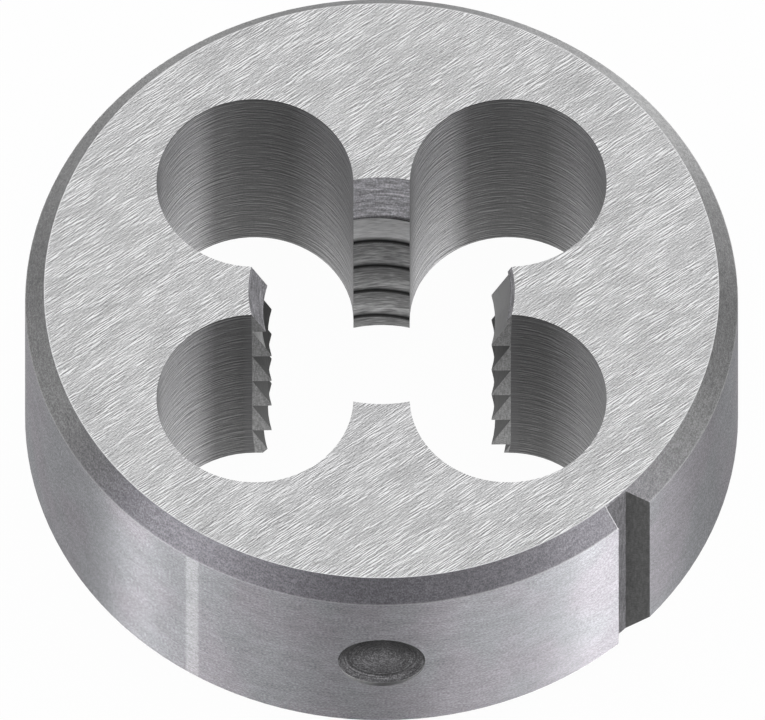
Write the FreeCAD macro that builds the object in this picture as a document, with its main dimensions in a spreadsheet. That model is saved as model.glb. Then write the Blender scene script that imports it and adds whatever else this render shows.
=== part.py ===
"""Round threading die: a hardened steel disc with a cutting thread on four lands.

Frame: the origin is the middle of the bottom face and +Z is the axis of the die, towards the
face where the workpiece starts. The middles of the lands lie on X and Y.
"""
import FreeCAD, Part
import math
import os

import Sketcher

NODE = "die_body"
ORIGIN_POINT = (-1, 1)

# Driving dimensions in millimetres and degrees.
SIZES = {
    "disc_diameter": 38.0,
    "disc_thickness": 14.0,
    "bevel_width": 1.0,
    "bevel_height": 1.2,
    "land_width": 3.0,
    "land_count": 4,
    "chip_hole_diameter": 10.5,
    "crest_diameter": 12.1,
    "root_diameter": 14.1,
    "pitch": 2.5,
    "crest_flat": 0.12,
    "first_tooth_depth": 1.82,
    "lead_mouth_diameter": 14.2,
    "lead_depth": 2.4,
    "back_mouth_diameter": 13.0,
    "back_depth": 0.7,
    "notch_angle": -45.0,
    "notch_depth": 0.95,
    "notch_floor_width": 1.45,
    "notch_wall_offset": 1.1,
    "seat_rim_diameter": 4.66,
    "seat_floor_diameter": 3.64,
    "seat_wall_depth": 0.2,
    "seat_band_depth": 0.4,
    "seat_depth": 0.55,
    "seat_count": 2,
    "overrun": 0.5,
}


def make_sheet(document):
    """The table of driving dimensions, one alias a row."""
    sheet = document.addObject("Spreadsheet::Sheet", "Sizes")
    for row, (alias, value) in enumerate(SIZES.items(), start=1):
        sheet.set(f"A{row}", alias)
        sheet.set(f"B{row}", str(value))
        sheet.setAlias(f"B{row}", alias)
    document.recompute()
    return sheet


def origin_feature(body, role):
    """The plane or axis of the body's own origin that has this role."""
    for feature in body.Origin.OriginFeatures:
        if feature.Role == role:
            return feature
    raise ValueError(f"{body.Label} has no {role}")


def new_sketch(body, name, role):
    """An empty sketch on one of the body's origin planes."""
    sketch = body.newObject("Sketcher::SketchObject", name)
    sketch.AttachmentSupport = (origin_feature(body, role), "")
    sketch.MapMode = "FlatFace"
    return sketch


def bind(sketch, kind, points, expression):
    """One driving constraint, bound to an expression over the sheet's aliases."""
    value = float(sketch.evalExpression(expression))
    index = sketch.addConstraint(Sketcher.Constraint(kind, *points, value))
    sketch.setExpression(f"Constraints[{index}]", expression)


def pin(sketch, geometry, end, across, up):
    """Fixes one point of a sketch by its two distances from the sketch's origin."""
    bind(sketch, "DistanceX", (*ORIGIN_POINT, geometry, end), across)
    bind(sketch, "DistanceY", (*ORIGIN_POINT, geometry, end), up)


def vector(sketch, corner):
    """The place of a corner that is given as two expressions."""
    across, up = (float(sketch.evalExpression(part)) for part in corner)
    return FreeCAD.Vector(across, up, 0)


def draw_outline(sketch, corners):
    """A closed outline of straight lines through corners given as pairs of expressions."""
    places = [vector(sketch, corner) for corner in corners]
    count = len(places)
    for index in range(count):
        line = Part.LineSegment(places[index], places[(index + 1) % count])
        sketch.addGeometry(line)
    for index in range(count):
        sketch.addConstraint(Sketcher.Constraint("Coincident", index, 2, (index + 1) % count, 1))
    for index, (across, up) in enumerate(corners):
        pin(sketch, index, 1, across, up)


def add_feature(body, kind, name, sketch):
    """A feature of the body that works from one sketch."""
    feature = body.newObject(kind, name)
    feature.Profile = sketch
    sketch.Visibility = False
    return feature


def add_pattern(body, name, feature, count):
    """Copies of a feature, evenly spaced about the axis of the die."""
    pattern = body.newObject("PartDesign::PolarPattern", name)
    pattern.Originals = [feature]
    pattern.Axis = (origin_feature(body, "Z_Axis"), [""])
    pattern.Angle = 360
    pattern.setExpression("Occurrences", count)
    body.Tip = pattern
    return pattern


def turn_blank(body):
    """The turned disc, bevelled round both faces."""
    sketch = new_sketch(body, "BlankSection", "XZ_Plane")
    rim = "Sizes.disc_diameter / 2"
    face = f"{rim} - Sizes.bevel_width"
    top = "Sizes.disc_thickness"
    draw_outline(sketch, [
        ("0", "0"),
        (face, "0"),
        (rim, "Sizes.bevel_height"),
        (rim, f"{top} - Sizes.bevel_height"),
        (face, top),
        ("0", top),
    ])
    blank = add_feature(body, "PartDesign::Revolution", "Blank", sketch)
    blank.ReferenceAxis = (sketch, ["V_Axis"])
    return blank


def bore_centre(body):
    """The through bore, as wide as the crests of the thread."""
    sketch = new_sketch(body, "BoreCircle", "XY_Plane")
    radius = float(sketch.evalExpression("Sizes.crest_diameter / 2"))
    centre = FreeCAD.Vector(0, 0, 0)
    sketch.addGeometry(Part.Circle(centre, FreeCAD.Vector(0, 0, 1), radius))
    sketch.addConstraint(Sketcher.Constraint("Coincident", 0, 3, *ORIGIN_POINT))
    bind(sketch, "Diameter", (0,), "Sizes.crest_diameter")
    bore = add_feature(body, "PartDesign::Pocket", "Bore", sketch)
    bore.Type = "ThroughAll"
    bore.Reversed = True
    return bore


def cut_thread(body):
    """The right-hand cutting thread: square below each tooth and sloped above it."""
    sketch = new_sketch(body, "GrooveSection", "XZ_Plane")
    root = "Sizes.root_diameter / 2"
    crest = "Sizes.crest_diameter / 2"
    inside = f"{crest} - Sizes.overrun"
    width = "Sizes.pitch - Sizes.crest_flat"
    draw_outline(sketch, [
        (inside, "0"),
        (crest, "0"),
        (root, width),
        (inside, width),
    ])
    # The first tooth's depth is measured on the land at -X, half a turn from this section.
    # The groove starts whole turns lower, where its section is clear below the bottom face.
    tooth = "(Sizes.disc_thickness - Sizes.first_tooth_depth - Sizes.pitch / 2)"
    turns_below = f"(floor({tooth} / Sizes.pitch) + 1)"
    start = f"{tooth} - {turns_below} * Sizes.pitch - ({width})"
    sketch.setExpression("AttachmentOffset.Base.y", f"({start}) * 1 mm")
    thread = add_feature(body, "PartDesign::SubtractiveHelix", "Thread", sketch)
    thread.ReferenceAxis = (sketch, ["V_Axis"])
    thread.Mode = "pitch-turns-angle"
    thread.setExpression("Pitch", "Sizes.pitch * 1 mm")
    thread.setExpression("Turns", f"{turns_below} + 3")
    return thread


def cut_cone(body, name, mouth, depth, level, towards):
    """A conical mouth of the bore, from a face of the disc down to the crests."""
    sketch = new_sketch(body, name + "Section", "XZ_Plane")
    crest = "Sizes.crest_diameter / 2"
    slope = f"({depth}) / (({mouth}) / 2 - {crest})"
    end = f"{level} {towards} (({mouth}) / 2 - {crest} + Sizes.overrun) * {slope}"
    draw_outline(sketch, [
        ("0", level),
        (f"({mouth}) / 2", level),
        (f"{crest} - Sizes.overrun", end),
        ("0", end),
    ])
    cone = add_feature(body, "PartDesign::Groove", name, sketch)
    cone.ReferenceAxis = (sketch, ["V_Axis"])
    return cone


def cut_lead(body):
    """The long lead at the top face, where the workpiece starts."""
    mouth, depth = "Sizes.lead_mouth_diameter", "Sizes.lead_depth"
    return cut_cone(body, "Lead", mouth, depth, "Sizes.disc_thickness", "-")


def cut_back_lead(body):
    """The short lead at the bottom face."""
    return cut_cone(body, "BackLead", "Sizes.back_mouth_diameter", "Sizes.back_depth", "0", "+")


def cut_chip_holes(body):
    """The chip holes, round outside and square towards the bore, which leaves the lands."""
    sketch = new_sketch(body, "ChipHoleOutline", "XY_Plane")
    near = "Sizes.land_width / 2"
    middle = "Sizes.land_width / 2 + Sizes.chip_hole_diameter / 2"
    corner = vector(sketch, (near, near))
    lower = vector(sketch, (middle, near))
    upper = vector(sketch, (near, middle))
    centre = vector(sketch, (middle, middle))
    radius = centre.y - lower.y
    circle = Part.Circle(centre, FreeCAD.Vector(0, 0, 1), radius)
    arc = Part.ArcOfCircle(circle, math.radians(-90), math.radians(180))
    wall = sketch.addGeometry(arc)
    left = sketch.addGeometry(Part.LineSegment(upper, corner))
    right = sketch.addGeometry(Part.LineSegment(corner, lower))
    sketch.addConstraint(Sketcher.Constraint("Tangent", wall, 2, left, 1))
    sketch.addConstraint(Sketcher.Constraint("Coincident", left, 2, right, 1))
    sketch.addConstraint(Sketcher.Constraint("Tangent", right, 2, wall, 1))
    sketch.addConstraint(Sketcher.Constraint("Vertical", left))
    pin(sketch, right, 1, near, near)
    pin(sketch, wall, 3, middle, middle)
    hole = add_feature(body, "PartDesign::Pocket", "ChipHole", sketch)
    hole.Type = "ThroughAll"
    hole.Reversed = True
    return add_pattern(body, "ChipHoles", hole, "Sizes.land_count")


def cut_notch(body):
    """The adjusting notch in the rim: one square wall, a flat floor and one slanted wall."""
    sketch = new_sketch(body, "NotchOutline", "XY_Plane")
    sketch.setExpression("AttachmentOffset.Rotation.Angle", "Sizes.notch_angle * 1 deg")
    outside = "Sizes.disc_diameter / 2 + Sizes.overrun"
    floor = "Sizes.disc_diameter / 2 - Sizes.notch_depth"
    square = "-Sizes.notch_wall_offset"
    slant = "Sizes.notch_floor_width - Sizes.notch_wall_offset"
    draw_outline(sketch, [
        (outside, square),
        (floor, square),
        (floor, slant),
        (outside, f"{slant} + Sizes.notch_depth + Sizes.overrun"),
    ])
    notch = add_feature(body, "PartDesign::Pocket", "Notch", sketch)
    notch.Type = "ThroughAll"
    notch.Reversed = True
    return notch


def cut_seats(body):
    """The shallow dished seats in the rim, half-way up, for the holder's set screws."""
    sketch = new_sketch(body, "SeatSection", "YZ_Plane")
    sketch.setExpression("AttachmentOffset.Base.y", "Sizes.disc_thickness / 2 * 1 mm")
    rim = "Sizes.disc_diameter / 2"
    rim_radius = "Sizes.seat_rim_diameter / 2"
    floor_radius = "Sizes.seat_floor_diameter / 2"
    draw_outline(sketch, [
        (f"{rim} - Sizes.seat_depth", "0"),
        (f"{rim} - Sizes.seat_band_depth", floor_radius),
        (f"{rim} - Sizes.seat_wall_depth", rim_radius),
        (f"{rim} + Sizes.overrun", rim_radius),
        (f"{rim} + Sizes.overrun", "0"),
    ])
    seat = add_feature(body, "PartDesign::Groove", "Seat", sketch)
    seat.ReferenceAxis = (sketch, ["H_Axis"])
    return add_pattern(body, "Seats", seat, "Sizes.seat_count")


def check_removed(before, feature):
    """The volume after a cut, which has to be less than before it."""
    after = feature.Shape.Volume
    if after >= before:
        raise ValueError(f"{feature.Label} removes nothing")
    return after


def build_die(document):
    """The whole die as one body, in the order in which it is machined."""
    body = document.addObject("PartDesign::Body", "Die")
    body.Label = NODE
    blank = turn_blank(body)
    document.recompute()
    volume = blank.Shape.Volume
    cuts = [
        bore_centre,
        cut_thread,
        cut_lead,
        cut_back_lead,
        cut_chip_holes,
        cut_notch,
        cut_seats,
    ]
    for cut in cuts:
        feature = cut(body)
        document.recompute()
        volume = check_removed(volume, feature)
    return body


def check_objects(document):
    """Stops if any object of the document has failed."""
    for item in document.Objects:
        if "Invalid" in item.State or "Error" in item.State:
            raise ValueError(f"{item.Label} failed: {item.State}")


def export_step(body):
    """Writes the die to its own file, once its shape is one valid solid."""
    shape = body.Shape
    if shape.isNull() or not shape.isValid() or len(shape.Solids) != 1:
        raise ValueError(f"{body.Label} is not one valid solid")
    shape.exportStep(os.path.join("parts", f"{body.Label}.step"))


def main():
    os.makedirs("parts", exist_ok=True)
    document = FreeCAD.newDocument("ThreadingDie")
    make_sheet(document)
    body = build_die(document)
    check_objects(document)
    export_step(body)


main()
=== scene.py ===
"""Studio look of the round threading die: one machined finish for each kind of surface."""
import math

import bpy
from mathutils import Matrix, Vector


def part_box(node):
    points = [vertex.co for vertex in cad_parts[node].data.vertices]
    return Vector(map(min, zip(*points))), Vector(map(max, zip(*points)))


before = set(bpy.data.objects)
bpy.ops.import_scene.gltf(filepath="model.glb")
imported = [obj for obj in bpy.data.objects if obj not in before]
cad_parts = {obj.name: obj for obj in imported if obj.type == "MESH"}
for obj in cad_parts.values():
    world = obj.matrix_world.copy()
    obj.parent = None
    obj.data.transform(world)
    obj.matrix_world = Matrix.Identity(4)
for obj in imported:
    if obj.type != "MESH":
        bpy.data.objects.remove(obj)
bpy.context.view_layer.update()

# Sizes in millimetres, in the frame of the CAD model.
MM = 0.001
BOX_LOW, BOX_HIGH = (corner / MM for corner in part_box("die_body"))
RIM_RADIUS = (BOX_HIGH.x - BOX_LOW.x) / 2
THICKNESS = BOX_HIGH.z - BOX_LOW.z
BEVEL_WIDTH = 1.0
FACE_RADIUS = RIM_RADIUS - BEVEL_WIDTH
LAND_HALF_WIDTH = 1.5
HOLE_RADIUS = 5.25
HOLE_MIDDLE = LAND_HALF_WIDTH + HOLE_RADIUS
CREST_RADIUS = 6.05
LEAD_RADIUS = 7.1
LEAD_DEPTH = 2.4
LEAD_BOTTOM = THICKNESS - LEAD_DEPTH
TOOTH_DEPTH = LEAD_RADIUS - CREST_RADIUS
SEAT_RADIUS = 2.4
SEAT_WALL_RADIUS = 2.33
SEAT_RING_RADIUS = 1.82
NOTCH_ANGLE = math.radians(-45)
NOTCH_FLOOR = 18.05
NOTCH_FLOOR_START, NOTCH_FLOOR_END = -1.1, 0.35
SCRATCH_ANGLE = math.radians(37)
RIM_HIGHLIGHT_ANGLE = math.radians(-90 - 32.1)

# Ranges over which painted light and shade change: x towards the right, |x| - |y| from the front and
# back lands to those at the sides, and an angle round an axis.
RIGHT_SIDE = (2.0, 4.0)
SIDE_LANDS = (-0.5, 0.5)
WHOLE_TURN = (-math.pi, math.pi)

# How surfaces are told apart: a slack in millimetres, and limits for a facet's normal.
TOLERANCE = 0.03
LEVEL = 0.999
UPRIGHT = 0.01
OUTWARD = 0.995
RAKE_REACH = HOLE_MIDDLE + 0.4
CREST_REACH = CREST_RADIUS + 0.1

# The photograph: its size in pixels, its scale and where the middle of the die lies in it.
PHOTO_WIDTH, PHOTO_HEIGHT = 765, 720
PIXELS_PER_MM = 18.765
DIE_MIDDLE_X, DIE_MIDDLE_Y = 381.55, 359.75
CAMERA_ELEVATION = math.radians(58.3)

# The studio, in metres.
CAMERA_DISTANCE = 0.4
LAMP_DISTANCE = 0.5
FLOOR_HALF_WIDTH = 1.5
FLOOR_COLOUR = (0.9, 0.9, 0.9, 1.0)
FLOOR_GLOW = 0.97
WORLD_COLOUR = (0.50, 0.50, 0.51, 1.0)
RIM_LAMP_HEIGHT = math.degrees(0.9 * THICKNESS * MM / LAMP_DISTANCE)

# Soft lamps from above: name, azimuth, elevation, width, height and power.
SOFTBOXES = [
    ("back_softbox", 180, 58, 50, 50, 0.3),
    ("left_top_softbox", -118, 50, 45, 40, 0.40),
    ("right_top_softbox", 108, 55, 45, 40, 0.55),
]

# Low lamps no taller than the die, so that they light the rim but not the top face:
# name, azimuth, width and power.
RIM_LAMPS = [
    ("left_lamp", -63, 12, 1.85),
    ("left_middle_lamp", -48, 12, 0.7),
    ("left_front_lamp", -32, 28, 1.1),
    ("left_side_lamp", -100, 40, 0.45),
    ("front_lamp", 0, 24, 0.25),
    ("right_lamp", 57, 12, 2.8),
    ("right_middle_lamp", 45, 12, 1.0),
    ("right_front_lamp", 26, 28, 1.7),
    ("right_side_lamp", 76, 12, 0.5),
    ("back_right_lamp", 140, 30, 1.0),
    ("back_left_lamp", -150, 30, 0.8),
]


class Nodes:
    """A small helper that adds and joins the nodes of one material."""

    def __init__(self, name):
        self.material = bpy.data.materials.new(name)
        self.material.use_nodes = True
        self.tree = self.material.node_tree
        self.shader = self.tree.nodes["Principled BSDF"]

    def add(self, kind, **settings):
        node = self.tree.nodes.new(kind)
        for name, value in settings.items():
            setattr(node, name, value)
        return node

    def feed(self, socket, value):
        """Links an output to a socket, or sets the socket to a plain value."""
        if isinstance(value, bpy.types.NodeSocket):
            self.tree.links.new(value, socket)
        else:
            socket.default_value = value

    def math(self, operation, *values):
        node = self.add("ShaderNodeMath", operation=operation)
        for socket, value in zip(node.inputs, values):
            self.feed(socket, value)
        return node.outputs[0]

    def join(self, x, y, z):
        node = self.add("ShaderNodeCombineXYZ")
        for socket, value in zip(node.inputs, (x, y, z)):
            self.feed(socket, value)
        return node.outputs[0]

    def place(self):
        """The three coordinates of the surface point in millimetres."""
        coordinates = self.add("ShaderNodeTexCoord")
        scaled = self.add("ShaderNodeVectorMath", operation="SCALE")
        self.feed(scaled.inputs[0], coordinates.outputs["Object"])
        self.feed(scaled.inputs["Scale"], 1 / MM)
        split = self.add("ShaderNodeSeparateXYZ")
        self.feed(split.inputs[0], scaled.outputs[0])
        return split.outputs[0], split.outputs[1], split.outputs[2]

    def noise(self, vector, detail):
        """Noise in cells of one unit, from 0 to 1."""
        noise = self.add("ShaderNodeTexNoise")
        self.feed(noise.inputs["Vector"], vector)
        self.feed(noise.inputs["Scale"], 1.0)
        self.feed(noise.inputs["Detail"], detail)
        self.feed(noise.inputs["Roughness"], 0.6)
        return noise.outputs["Fac"]

    def grain(self, along, across, length, width, detail, seed):
        """Noise drawn out along one direction, from 0 to 1."""
        stretched = self.join(
            self.math("DIVIDE", along, length), self.math("DIVIDE", across, width), seed)
        return self.noise(stretched, detail)

    def rings(self, x, y, z, length, width, detail=0.0):
        """Noise in level lines that run round any upright wall, from 0 to 1."""
        stretched = self.join(
            self.math("DIVIDE", x, length), self.math("DIVIDE", y, length),
            self.math("DIVIDE", z, width))
        return self.noise(stretched, detail)

    def embossed(self, here, beside):
        """Marks with a lit side and a dark side, round 0.5, from noise and its shifted copy."""
        return self.math("ADD", self.math("SUBTRACT", here, beside), 0.5)

    def scratches(self, along, across, length, width, seed):
        """Fine straight scratches, round 0.5."""
        here = self.grain(along, across, length, width, 0.0, seed)
        beside = self.grain(along, self.math("ADD", across, width / 2), length, width, 0.0, seed)
        return self.embossed(here, beside)

    def tool_lines(self, x, y, z, length, width):
        """Fine level lines round any upright wall, round 0.5."""
        here = self.rings(x, y, z, length, width)
        beside = self.rings(x, y, self.math("ADD", z, width / 2), length, width)
        return self.embossed(here, beside)

    def varied(self, marks, strength):
        """Marks round 0.5, made fainter or clearer."""
        centred = self.math("SUBTRACT", marks, 0.5)
        return self.math("ADD", self.math("MULTIPLY", centred, strength), 0.5)

    def blend(self, parts):
        """The weighted sum of several values, given as pairs of value and weight."""
        total = 0.0
        for value, weight in parts:
            total = self.math("ADD", total, self.math("MULTIPLY", value, weight))
        return total

    def spread(self, value, old, new):
        """Maps the old range of a value to a new range, and stops at its ends."""
        node = self.add("ShaderNodeMapRange")
        for socket, number in zip(node.inputs, (value, *old, *new)):
            self.feed(socket, number)
        return node.outputs[0]

    def shades(self, value, stops):
        """Grey or tinted shades along a value, given as pairs of position and colour."""
        ramp = self.add("ShaderNodeValToRGB")
        elements = ramp.color_ramp.elements
        while len(elements) < len(stops):
            elements.new(0.5)
        for element, (position, colour) in zip(elements, stops):
            element.position = position
            element.color = (*colour, 1.0)
        self.feed(ramp.inputs["Fac"], value)
        return ramp.outputs["Color"]

    def mixed(self, first, second, amount, blend_type="MIX"):
        """Two colours mixed by an amount from 0, all of the first, to 1."""
        mix = self.add("ShaderNodeMix", data_type="RGBA", blend_type=blend_type)
        self.feed(mix.inputs["Factor"], amount)
        self.feed(mix.inputs["A"], first)
        self.feed(mix.inputs["B"], second)
        return mix.outputs["Result"]

    def painted(self, colour, amount, tint):
        """Moves a colour towards a tint by an amount from 0 to 1."""
        return self.mixed(colour, (*tint, 1.0), amount)

    def scaled(self, colour, tint):
        """A colour with each channel multiplied by the tint's."""
        return self.mixed(colour, tint, 1.0, "MULTIPLY")

    def bump(self, height, depth):
        """Relief of the given depth in millimetres from a height between 0 and 1."""
        node = self.add("ShaderNodeBump")
        self.feed(node.inputs["Distance"], depth * MM)
        self.feed(node.inputs["Height"], height)
        self.feed(self.shader.inputs["Normal"], node.outputs[0])

    def upright_gloss(self, strength):
        """Draws highlights out along the die's axis, across marks that run round it."""
        tangent = self.add("ShaderNodeTangent", direction_type="RADIAL", axis="Z")
        self.feed(self.shader.inputs["Tangent"], tangent.outputs[0])
        self.feed(self.shader.inputs["Anisotropic"], strength)
        self.feed(self.shader.inputs["Anisotropic Rotation"], 0.25)

    def steel(self, colour, roughness):
        self.feed(self.shader.inputs["Base Color"], colour)
        self.feed(self.shader.inputs["Roughness"], roughness)
        self.feed(self.shader.inputs["Metallic"], 1.0)
        return self.material


def grey(level, tint=0.0):
    """A linear grey, with a cool tint that adds blue and a little red."""
    return (level * (1 + tint / 3), level, level * (1 + tint))


def around(nodes, x, y, radius):
    """The distance round a cylinder of that radius about the die's axis."""
    return nodes.math("MULTIPLY", nodes.math("ARCTAN2", y, x), radius)


def distance_from_axis(nodes, x, y):
    squares = nodes.math("ADD", nodes.math("MULTIPLY", x, x), nodes.math("MULTIPLY", y, y))
    return nodes.math("SQRT", squares)


def line_at(nodes, value, target, inner, outer, strength):
    """A line where a value meets a target: full at the inner distance, gone at the outer."""
    distance = nodes.math("ABSOLUTE", nodes.math("SUBTRACT", value, target))
    return nodes.spread(distance, (inner, outer), (strength, 0.0))


def along_and_across(nodes, x, y, angle):
    """The two coordinates of a level point in a frame that is turned by an angle."""
    along = nodes.blend([(x, math.cos(angle)), (y, math.sin(angle))])
    across = nodes.blend([(x, -math.sin(angle)), (y, math.cos(angle))])
    return along, across


def ground_face():
    """The flat faces: bright, with fine slanted scratches from the grinding wheel."""
    nodes = Nodes("ground_face")
    x, y, z = nodes.place()
    along, across = along_and_across(nodes, x, y, SCRATCH_ANGLE)
    hairlines = nodes.scratches(along, across, length=0.75, width=0.075, seed=1.7)
    specks = nodes.scratches(along, across, length=0.22, width=0.06, seed=3.1)
    clouds = nodes.grain(along, across, length=3.0, width=1.5, detail=1.0, seed=9.1)
    patches = nodes.grain(along, across, length=1.4, width=0.5, detail=1.0, seed=7.7)
    drawn = nodes.varied(hairlines, nodes.spread(patches, (0.40, 0.60), (0.55, 1.1)))
    grit = nodes.grain(along, across, length=0.075, width=0.075, detail=0.0, seed=5.2)
    value = nodes.blend([(drawn, 0.42), (specks, 0.32), (grit, 0.16), (clouds, 0.10)])
    colour = nodes.shades(value, [
        (0.36, grey(0.25)),
        (0.44, grey(0.43)),
        (0.50, grey(0.55)),
        (0.56, grey(0.67)),
        (0.65, grey(0.92)),
    ])
    glints = nodes.math(
        "MULTIPLY", nodes.spread(hairlines, (0.52, 0.62), (0.0, 1.0)),
        nodes.spread(patches, (0.42, 0.60), (0.0, 0.8)))
    colour = nodes.painted(colour, glints, grey(1.00))
    radius = distance_from_axis(nodes, x, y)
    # Painted highlight: a thin light line round the outer border of the face.
    painted_edge_line = nodes.spread(radius, (FACE_RADIUS - 0.10, FACE_RADIUS - 0.02), (0.0, 0.55))
    colour = nodes.painted(colour, painted_edge_line, grey(0.85))
    nodes.bump(value, 0.02)
    return nodes.steel(colour, nodes.spread(hairlines, (0.3, 0.7), (0.42, 0.30)))


def satin_bevel():
    """The bevels: dark and satin, with a faint purple cast in front, and painted light and shade."""
    nodes = Nodes("satin_bevel")
    x, y, z = nodes.place()
    round_way = around(nodes, x, y, RIM_RADIUS)
    specks = nodes.grain(round_way, z, length=0.08, width=0.06, detail=1.0, seed=4.4)
    lines = nodes.grain(round_way, z, length=0.5, width=0.10, detail=2.0, seed=2.2)
    value = nodes.blend([(lines, 0.3), (specks, 0.7)])
    colour = nodes.shades(value, [
        (0.35, grey(0.33)),
        (0.50, grey(0.47)),
        (0.65, grey(0.65)),
    ])
    # Painted light and shade: the bevel is lighter or darker by the direction round the die,
    # brightest towards the back.
    azimuth = nodes.math("ARCTAN2", x, nodes.math("MULTIPLY", y, -1.0))
    painted_light_by_azimuth = nodes.shades(nodes.spread(azimuth, WHOLE_TURN, (0.0, 1.0)), [
        (0.00, grey(0.75)),
        (0.15, grey(0.37)),
        (0.31, grey(0.53)),
        (0.37, grey(0.28, 0.09)),
        (0.41, grey(0.45, 0.09)),
        (0.48, grey(0.36, 0.09)),
        (0.54, grey(0.23, 0.09)),
        (0.61, grey(0.26, 0.09)),
        (0.68, grey(0.64)),
        (0.75, grey(0.42)),
        (0.80, grey(0.43)),
        (0.87, grey(0.90)),
        (0.93, grey(1.00)),
        (0.97, grey(0.75)),
    ])
    colour = nodes.scaled(colour, painted_light_by_azimuth)
    radius = distance_from_axis(nodes, x, y)
    # Painted highlight: a thin light line where the bevel meets the rim.
    painted_edge_line = nodes.spread(radius, (RIM_RADIUS - 0.07, RIM_RADIUS), (0.0, 0.3))
    colour = nodes.painted(colour, painted_edge_line, grey(0.8))
    # Painted highlight: a thin light line beside the notch, on the front side.
    _, tangential = along_and_across(nodes, x, y, NOTCH_ANGLE)
    line = line_at(nodes, tangential, NOTCH_FLOOR_START, inner=0.01, outer=0.06, strength=0.25)
    ahead = nodes.math("LESS_THAN", y, 0.0)
    colour = nodes.painted(colour, nodes.math("MULTIPLY", line, ahead), grey(0.8))
    nodes.bump(value, 0.006)
    nodes.upright_gloss(0.9)
    return nodes.steel(colour, 0.6)


def turned_rim():
    """The rim: turned, so that its marks run round and its highlights stand upright."""
    nodes = Nodes("turned_rim")
    x, y, z = nodes.place()
    round_way = around(nodes, x, y, RIM_RADIUS)
    specks = nodes.grain(round_way, z, length=0.14, width=0.08, detail=1.0, seed=1.1)
    lines = nodes.grain(round_way, z, length=1.0, width=0.11, detail=1.0, seed=3.9)
    cloud = nodes.grain(round_way, z, length=1.6, width=0.7, detail=3.0, seed=6.2)
    value = nodes.blend([(specks, 0.42), (lines, 0.30), (cloud, 0.28)])
    colour = nodes.shades(value, [
        (0.30, grey(0.13, 0.05)),
        (0.50, grey(0.20, 0.05)),
        (0.70, grey(0.28, 0.05)),
    ])
    cast = nodes.shades(nodes.grain(round_way, z, length=3.5, width=6.0, detail=1.0, seed=8.3), [
        (0.40, (1.00, 0.980, 1.00)),
        (0.60, (0.975, 1.00, 1.00)),
    ])
    colour = nodes.scaled(colour, cast)
    # Painted highlight: a narrow upright strip of light on the rim, at a fixed angle round the die.
    highlight_place = RIM_HIGHLIGHT_ANGLE * RIM_RADIUS
    strip = line_at(nodes, round_way, highlight_place, inner=0.32, outer=0.46, strength=0.26)
    colour = nodes.painted(colour, nodes.math("MULTIPLY", strip, value), grey(0.80))
    nodes.bump(value, 0.002)
    nodes.upright_gloss(0.92)
    return nodes.steel(colour, nodes.spread(specks, (0.42, 0.62), (0.62, 0.38)))


def bored_wall():
    """The chip holes: dark, with fine lines round each hole from the boring tool, and painted light
    and shade that change round each hole.
    """
    nodes = Nodes("bored_wall")
    x, y, z = nodes.place()
    hairlines = nodes.tool_lines(x, y, z, length=0.8, width=0.12)
    lines = nodes.tool_lines(x, y, z, length=4.0, width=0.14)
    patches = nodes.rings(x, y, z, length=1.6, width=0.5, detail=1.0)
    hairlines = nodes.varied(hairlines, nodes.spread(patches, (0.40, 0.60), (0.45, 1.15)))
    grit = nodes.rings(x, y, z, length=0.09, width=0.07)
    value = nodes.blend([(hairlines, 0.50), (lines, 0.36), (grit, 0.14)])
    # Painted light and shade: a shaded and a lit copy of the wall's colour, mixed by the direction
    # round each hole, with a little less painted light near the top.
    dark = nodes.shades(value, [
        (0.34, grey(0.12)),
        (0.46, grey(0.17)),
        (0.54, grey(0.205)),
        (0.66, grey(0.32)),
    ])
    bright = nodes.shades(value, [
        (0.36, grey(0.30, 0.02)),
        (0.46, grey(0.58, 0.02)),
        (0.54, grey(0.76, 0.02)),
        (0.64, grey(1.00)),
    ])
    hole_x = nodes.math("MULTIPLY", nodes.math("SIGN", x), HOLE_MIDDLE)
    hole_y = nodes.math("MULTIPLY", nodes.math("SIGN", y), HOLE_MIDDLE)
    turn = nodes.math("ARCTAN2", nodes.math("SUBTRACT", y, hole_y), nodes.math("SUBTRACT", x, hole_x))
    painted_shading = nodes.shades(nodes.spread(turn, WHOLE_TURN, (0.0, 1.0)), [
        (0.00, grey(0.45)),
        (0.47, grey(0.52)),
        (0.62, grey(0.45)),
        (0.69, grey(0.00)),
        (0.77, grey(0.00)),
        (0.815, grey(0.15)),
        (0.85, grey(0.80)),
        (0.88, grey(1.00)),
        (0.94, grey(1.00)),
        (0.98, grey(0.50)),
    ])
    painted_height_shade = nodes.spread(z, (0.6 * THICKNESS, THICKNESS), (1.0, 0.8))
    colour = nodes.mixed(dark, bright, nodes.math("MULTIPLY", painted_shading, painted_height_shade))
    nearest = nodes.math("MINIMUM", nodes.math("ABSOLUTE", x), nodes.math("ABSOLUTE", y))
    strip = nodes.spread(nearest, (LAND_HALF_WIDTH + 0.015, LAND_HALF_WIDTH + 0.04), (0.5, 0.0))
    colour = nodes.painted(colour, strip, grey(0.22, 0.02))
    # Painted shade: a thin dark line along the top of each hole's wall.
    painted_edge_line = nodes.spread(z, (THICKNESS - 0.16, THICKNESS - 0.04), (0.0, 0.6))
    colour = nodes.painted(colour, painted_edge_line, grey(0.05))
    nodes.bump(value, 0.01)
    nodes.upright_gloss(0.5)
    return nodes.steel(colour, 0.65)


def ground_rake():
    """The flat rake faces beside the teeth."""
    nodes = Nodes("ground_rake")
    x, y, z = nodes.place()
    across = nodes.math("ADD", x, y)
    lines = nodes.grain(z, across, length=0.5, width=0.08, detail=2.0, seed=3.3)
    specks = nodes.grain(z, across, length=0.10, width=0.10, detail=1.0, seed=6.3)
    value = nodes.blend([(lines, 0.5), (specks, 0.5)])
    colour = nodes.shades(value, [
        (0.35, grey(0.20)),
        (0.50, grey(0.29)),
        (0.65, grey(0.40)),
    ])
    nodes.bump(value, 0.006)
    return nodes.steel(colour, 0.55)


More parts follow.
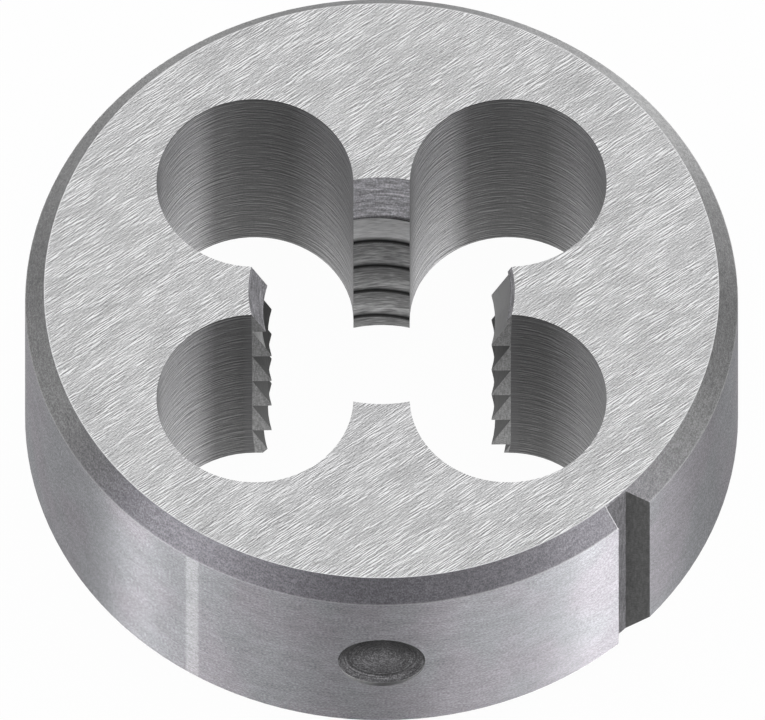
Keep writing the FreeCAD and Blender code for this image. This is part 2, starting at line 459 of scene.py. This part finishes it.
def cut_thread():
    """The flanks and crests of the thread: painted shade at the roots and lower down, and painted
    light near the crests.
    """
    nodes = Nodes("cut_thread")
    x, y, z = nodes.place()
    lines = nodes.rings(x, y, z, length=0.8, width=0.08, detail=2.0)
    crest = nodes.spread(z, (LEAD_BOTTOM, THICKNESS), (CREST_RADIUS, LEAD_RADIUS))
    depth = nodes.math("SUBTRACT", distance_from_axis(nodes, x, y), crest)
    # Painted light near the crests, painted shade at the roots, and painted shade lower in the bore.
    painted_shading = nodes.spread(depth, (0.0, TOOTH_DEPTH), (0.50, 0.0))
    painted_height_shade = nodes.spread(z, (0.5 * THICKNESS, 0.8 * THICKNESS), (-0.18, 0.22))
    value = nodes.blend([(lines, 0.7), (painted_shading, 1.0), (painted_height_shade, 1.0)])
    colour = nodes.shades(value, [
        (0.05, grey(0.04)),
        (0.20, grey(0.11)),
        (0.50, grey(0.30)),
        (0.72, grey(0.70)),
        (0.95, grey(0.95)),
    ])
    # Painted shade: the lands at the left and the right are darker between their teeth, and the other
    # two have a dark line of painted shade along each crest.
    sideways = nodes.math("SUBTRACT", nodes.math("ABSOLUTE", x), nodes.math("ABSOLUTE", y))
    below = nodes.math("LESS_THAN", z, LEAD_BOTTOM - 1.0)
    right_side_shade = nodes.spread(x, RIGHT_SIDE, (0.0, 0.5))
    painted_gap_shade = nodes.spread(sideways, SIDE_LANDS, (0.0, 0.93))
    painted_gap_shade = nodes.math("MULTIPLY", painted_gap_shade, nodes.math("MAXIMUM", below, right_side_shade))
    colour = nodes.painted(colour, painted_gap_shade, grey(0.035))
    # Painted shade: a dark line along each crest of the front and back lands.
    line = nodes.spread(depth, (0.04, 0.14), (1.0, 0.0))
    line = nodes.math("MULTIPLY", line, nodes.spread(sideways, SIDE_LANDS, (1.0, 0.0)))
    colour = nodes.painted(colour, line, grey(0.03))
    nodes.bump(lines, 0.01)
    return nodes.steel(colour, 0.5)


def ribbed_lead():
    """The lead cone: ribbed from turning, with painted shade that makes it a little darker on the
    right and a dark line at its foot.
    """
    nodes = Nodes("ribbed_lead")
    x, y, z = nodes.place()
    ribs = nodes.rings(x, y, z, length=1.0, width=0.10, detail=2.0)
    specks = nodes.rings(x, y, z, length=0.10, width=0.10, detail=1.0)
    value = nodes.blend([(ribs, 0.6), (specks, 0.4)])
    colour = nodes.shades(value, [
        (0.35, grey(0.34, 0.04)),
        (0.50, grey(0.62, 0.04)),
        (0.65, grey(0.98, 0.04)),
    ])
    # Painted shade: a little darker on the right.
    right_side_shade = nodes.spread(x, RIGHT_SIDE, (0.0, 0.2))
    colour = nodes.painted(colour, right_side_shade, grey(0.10))
    # Painted shade: a dark line near the foot of the lead cone.
    painted_edge_line = nodes.spread(z, (LEAD_BOTTOM + 0.08, LEAD_BOTTOM + 0.18), (0.75, 0.0))
    colour = nodes.painted(colour, painted_edge_line, grey(0.05))
    nodes.bump(value, 0.02)
    return nodes.steel(colour, 0.6)


def milled_notch():
    """The adjusting notch: a smooth floor beside a slanted wall darkened with painted shade."""
    nodes = Nodes("milled_notch")
    x, y, z = nodes.place()
    _, tangential = along_and_across(nodes, x, y, NOTCH_ANGLE)
    lines = nodes.grain(z, tangential, length=0.8, width=0.10, detail=2.0, seed=6.6)
    specks = nodes.grain(z, tangential, length=0.08, width=0.08, detail=1.0, seed=4.6)
    value = nodes.blend([(lines, 0.5), (specks, 0.5)])
    floor_colour = nodes.shades(value, [
        (0.35, grey(0.05, 0.06)),
        (0.50, grey(0.10, 0.06)),
        (0.65, grey(0.17, 0.06)),
    ])
    # Painted shade: the slanted wall gets a darker colour than the floor.
    shaded_notch_wall_colour = nodes.shades(value, [
        (0.35, grey(0.045)),
        (0.50, grey(0.062)),
        (0.65, grey(0.085)),
    ])
    slanted = nodes.math("GREATER_THAN", tangential, NOTCH_FLOOR_END)
    nodes.bump(value, 0.004)
    return nodes.steel(nodes.mixed(floor_colour, shaded_notch_wall_colour, slanted), 0.55)


def drilled_seat():
    """The set-screw seats: rings round the seat's own axis, lighter in the middle, with painted shade
    above and painted light on the wall at the foot.
    """
    nodes = Nodes("drilled_seat")
    x, y, z = nodes.place()
    height = nodes.math("SUBTRACT", z, THICKNESS / 2)
    ring = distance_from_axis(nodes, x, height)
    turn = nodes.math("ARCTAN2", height, x)
    rings = nodes.grain(turn, ring, length=0.9, width=0.07, detail=1.0, seed=2.9)
    specks = nodes.rings(x, y, z, length=0.09, width=0.09, detail=1.0)
    middle = nodes.spread(ring, (0.0, SEAT_RING_RADIUS), (0.08, 0.0))
    # Painted shade: darker towards the top of the seat.
    painted_height_shade = nodes.spread(height, (-0.4, SEAT_RADIUS), (-0.02, -0.36))
    value = nodes.blend([(rings, 0.45), (specks, 0.55), (middle, 1.0), (painted_height_shade, 1.0)])
    colour = nodes.shades(value, [
        (0.20, grey(0.005, 0.04)),
        (0.38, grey(0.028, 0.04)),
        (0.52, grey(0.068, 0.04)),
        (0.68, grey(0.145, 0.04)),
    ])
    # Painted highlight: the lower part of the seat's outer wall is made lighter.
    wall = nodes.spread(ring, (SEAT_WALL_RADIUS - 0.012, SEAT_WALL_RADIUS - 0.004), (0.0, 1.0))
    below = nodes.spread(height, (-1.6, 0.2), (1.0, 0.0))
    colour = nodes.painted(colour, nodes.math("MULTIPLY", wall, below), grey(0.38))
    # A dark line painted along the ring where the seat's two cones meet.
    ring_line = line_at(nodes, ring, SEAT_RING_RADIUS, inner=0.02, outer=0.07, strength=0.6)
    colour = nodes.painted(colour, ring_line, grey(0.02))
    nodes.bump(value, 0.01)
    return nodes.steel(colour, 0.6)


def near(value, target):
    return abs(value - target) < TOLERANCE


def surface_kind(corners, normal):
    """The kind of finish that a facet of the die has, from its corners and its normal."""
    middle = sum(corners, Vector()) / len(corners)
    radii = [corner.xy.length for corner in corners]
    radius = middle.xy.length
    upright = abs(normal.z) < UPRIGHT
    if abs(normal.z) > LEVEL and (near(middle.z, 0) or near(middle.z, THICKNESS)):
        return "ground_face"
    faces_out = upright and normal.xy.dot(middle.xy) / radius > OUTWARD
    if faces_out and all(near(r, RIM_RADIUS) for r in radii):
        return "turned_rim"
    if radius > FACE_RADIUS - TOLERANCE:
        if Vector((middle.x, middle.z - THICKNESS / 2)).length < SEAT_RADIUS:
            return "drilled_seat"
        if upright and radius > NOTCH_FLOOR - TOLERANCE:
            return "milled_notch"
        return "satin_bevel"
    if upright:
        flat = near(abs(middle.x), LAND_HALF_WIDTH) or near(abs(middle.y), LAND_HALF_WIDTH)
        if flat and max(abs(normal.x), abs(normal.y)) > LEVEL and radius < RAKE_REACH:
            return "ground_rake"
        if radius > CREST_REACH:
            return "bored_wall"
    lead_slope = TOOTH_DEPTH / LEAD_DEPTH
    lead_radii = [LEAD_RADIUS - (THICKNESS - corner.z) * lead_slope for corner in corners]
    if all(near(r, lead) for r, lead in zip(radii, lead_radii)):
        return "ribbed_lead"
    return "cut_thread"


def dress_die(die):
    """Gives every facet of the die the finish of its kind of surface."""
    makers = [
        ground_face, satin_bevel, turned_rim, bored_wall, ground_rake, cut_thread,
        ribbed_lead, milled_notch, drilled_seat,
    ]
    mesh = die.data
    mesh.materials.clear()
    slots = {}
    for number, maker in enumerate(makers):
        mesh.materials.append(maker())
        slots[maker.__name__] = number
    places = [vertex.co / MM for vertex in mesh.vertices]
    for polygon in mesh.polygons:
        corners = [places[index] for index in polygon.vertices]
        polygon.material_index = slots[surface_kind(corners, polygon.normal)]


def make_floor():
    """A white floor that keeps a faint shadow of the die."""
    nodes = Nodes("floor")
    nodes.feed(nodes.shader.inputs["Base Color"], FLOOR_COLOUR)
    nodes.feed(nodes.shader.inputs["Roughness"], 1.0)
    nodes.feed(nodes.shader.inputs["Specular IOR Level"], 0.0)
    path = nodes.add("ShaderNodeLightPath")
    seen = nodes.math("MAXIMUM", path.outputs["Is Camera Ray"], path.outputs["Is Glossy Ray"])
    seen = nodes.math("MAXIMUM", seen, path.outputs["Is Transmission Ray"])
    white = nodes.add("ShaderNodeEmission")
    nodes.feed(white.inputs["Color"], (1.0, 1.0, 1.0, 1.0))
    mix = nodes.add("ShaderNodeMixShader")
    nodes.feed(mix.inputs[0], nodes.math("MULTIPLY", seen, FLOOR_GLOW))
    nodes.feed(mix.inputs[1], nodes.shader.outputs[0])
    nodes.feed(mix.inputs[2], white.outputs[0])
    output = nodes.tree.nodes["Material Output"]
    nodes.feed(output.inputs["Surface"], mix.outputs[0])
    size = FLOOR_HALF_WIDTH
    mesh = bpy.data.meshes.new("floor")
    corners = [(-size, -size, 0), (size, -size, 0), (size, size, 0), (-size, size, 0)]
    mesh.from_pydata(corners, [], [(0, 1, 2, 3)])
    mesh.materials.append(nodes.material)
    floor = bpy.data.objects.new("floor", mesh)
    bpy.context.scene.collection.objects.link(floor)


def softbox(name, azimuth, elevation, width, height, power):
    """A soft lamp on a sphere round the die. Azimuth 0 is in front and 90 at the right.

    The width and height are angles, and the power is what the lamp gives to a surface that
    faces it: its radiance times its solid angle."""
    a, e = math.radians(azimuth), math.radians(elevation)
    towards = Vector((math.sin(a) * math.cos(e), -math.cos(a) * math.cos(e), math.sin(e)))
    lamp = bpy.data.lights.new(name, "AREA")
    lamp.shape = "RECTANGLE"
    lamp.size = 2 * LAMP_DISTANCE * math.tan(math.radians(width / 2))
    lamp.size_y = 2 * LAMP_DISTANCE * math.tan(math.radians(height / 2))
    lamp.energy = power * math.pi * LAMP_DISTANCE ** 2
    holder = bpy.data.objects.new(name, lamp)
    holder.location = Vector((0, 0, THICKNESS / 2 * MM)) + towards * LAMP_DISTANCE
    holder.rotation_euler = towards.to_track_quat("Z", "Y").to_euler()
    bpy.context.scene.collection.objects.link(holder)


def light_studio():
    world = bpy.data.worlds.new("studio")
    world.use_nodes = True
    background = world.node_tree.nodes["Background"]
    background.inputs["Color"].default_value = WORLD_COLOUR
    background.inputs["Strength"].default_value = 1.0
    bpy.context.scene.world = world
    for lamp in SOFTBOXES:
        softbox(*lamp)
    for name, azimuth, width, power in RIM_LAMPS:
        softbox(name, azimuth, 0, width, RIM_LAMP_HEIGHT, power)


def make_camera():
    """A parallel view from the front and above, framed as the photograph."""
    camera = bpy.data.cameras.new("camera")
    camera.type = "ORTHO"
    camera.ortho_scale = PHOTO_WIDTH / PIXELS_PER_MM * MM
    holder = bpy.data.objects.new("camera", camera)
    back = Vector((0, -math.cos(CAMERA_ELEVATION), math.sin(CAMERA_ELEVATION)))
    up = Vector((0, math.sin(CAMERA_ELEVATION), math.cos(CAMERA_ELEVATION)))
    right = Vector((1, 0, 0))
    across = (PHOTO_WIDTH / 2 - DIE_MIDDLE_X) / PIXELS_PER_MM * MM
    upwards = (DIE_MIDDLE_Y - PHOTO_HEIGHT / 2) / PIXELS_PER_MM * MM
    middle = Vector((0, 0, THICKNESS / 2 * MM))
    holder.location = middle + right * across + up * upwards + back * CAMERA_DISTANCE
    holder.rotation_euler = back.to_track_quat("Z", "Y").to_euler()
    bpy.context.scene.collection.objects.link(holder)
    bpy.context.scene.camera = holder


dress_die(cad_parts["die_body"])
make_floor()
light_studio()
make_camera()
bpy.context.scene.view_settings.view_transform = "Standard"
